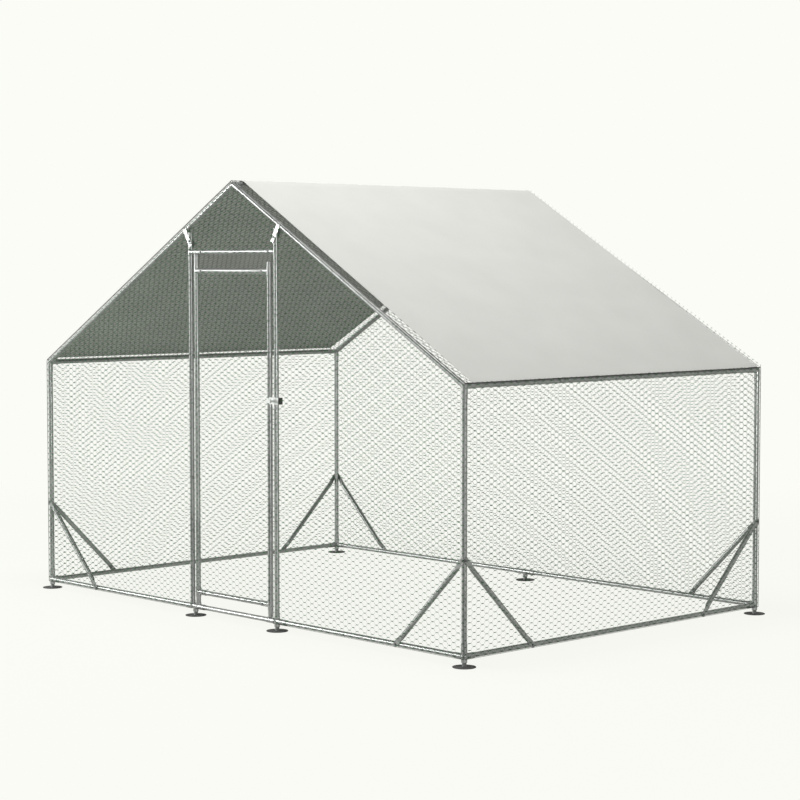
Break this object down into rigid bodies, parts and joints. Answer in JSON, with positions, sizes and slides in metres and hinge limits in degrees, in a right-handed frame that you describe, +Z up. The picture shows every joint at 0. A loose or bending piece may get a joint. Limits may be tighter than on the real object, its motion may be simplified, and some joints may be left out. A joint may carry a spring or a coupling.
{
  "type": "poultry run",
  "caption": "Walk-in poultry run: gabled tube frame on disc feet, hexagonal netting on walls and roof, a pale roof sheet and a netted door that swings on a pivot stile and locks with a pin.",
  "frame": {"origin": "on the ground under the middle of the run", "axes": "+X along the gable to the right as seen from the door, +Y from the door to the back, +Z up"},
  "size_m": [2.996, 1.9958, 1.9856],
  "materials": {
    "galvanised_steel": "galvanised",
    "bright_zinc": "bright zinc",
    "dark_zinc": "dark",
    "foot_steel": "dull grey",
    "netting_wire": "galvanised wire",
    "roof_sheet": "coated woven sheet"
  },
  "bodies": {
    "frame": {"post_front_left": "galvanised_steel", "post_front_right": "galvanised_steel", "post_back_left": "galvanised_steel", "post_back_right": "galvanised_steel", "door_post_left": "galvanised_steel", "door_post_right": "galvanised_steel", "door_header": "galvanised_steel", "base_front_left": "galvanised_steel", "threshold": "galvanised_steel", "base_front_right": "galvanised_steel", "base_back": "galvanised_steel", "base_left": "galvanised_steel", "base_right": "galvanised_steel", "eave_left": "galvanised_steel", "eave_right": "galvanised_steel", "ridge_pole": "galvanised_steel", "rafter_front_left": "galvanised_steel", "rafter_front_right": "galvanised_steel", "rafter_back_left": "galvanised_steel", "rafter_back_right": "galvanised_steel", "base_elbow_front_left": "galvanised_steel", "base_elbow_front_right": "galvanised_steel", "base_elbow_back_left": "galvanised_steel", "base_elbow_back_right": "galvanised_steel", "eave_elbow_front_left": "galvanised_steel", "eave_elbow_front_right": "galvanised_steel", "eave_elbow_back_left": "galvanised_steel", "eave_elbow_back_right": "galvanised_steel", "ridge_elbow_front": "galvanised_steel", "ridge_elbow_back": "galvanised_steel", "base_tee_left": "galvanised_steel", "base_tee_right": "galvanised_steel", "base_tee_back": "galvanised_steel", "header_tee_left": "galvanised_steel", "header_tee_right": "galvanised_steel", "feet": "foot_steel", "braces_front": "galvanised_steel", "braces_back": "galvanised_steel", "braces_left": "galvanised_steel", "braces_right": "galvanised_steel", "rafter_clamps": "bright_zinc", "frame_screws": "dark_zinc", "front_net_left": "netting_wire", "front_net_right": "netting_wire", "front_net_top": "netting_wire", "back_net": "netting_wire", "left_net": "netting_wire", "right_net": "netting_wire", "roof_net_left": "netting_wire", "roof_net_right": "netting_wire", "roof_cover": "roof_sheet"},
    "door": {"hinge_stile": "galvanised_steel", "latch_stile": "galvanised_steel", "door_top_rail": "galvanised_steel", "door_bottom_rail": "galvanised_steel", "door_tees": "galvanised_steel", "door_net": "netting_wire", "door_screws": "dark_zinc", "latch_strap": "bright_zinc"},
    "latch": {"latch_pin": "bright_zinc"}
  },
  "joints": [
    {"name": "door_swing", "type": "hinge", "parent": "frame", "child": "door", "pos_m": [-0.269, -0.95, 0], "axis": [0, 0, -1], "range_deg": [0, 105]},
    {"name": "latch_slide", "type": "slide", "parent": "door", "child": "latch", "axis": [0, 1, 0], "range_m": [0, 0.014]}
  ]
}
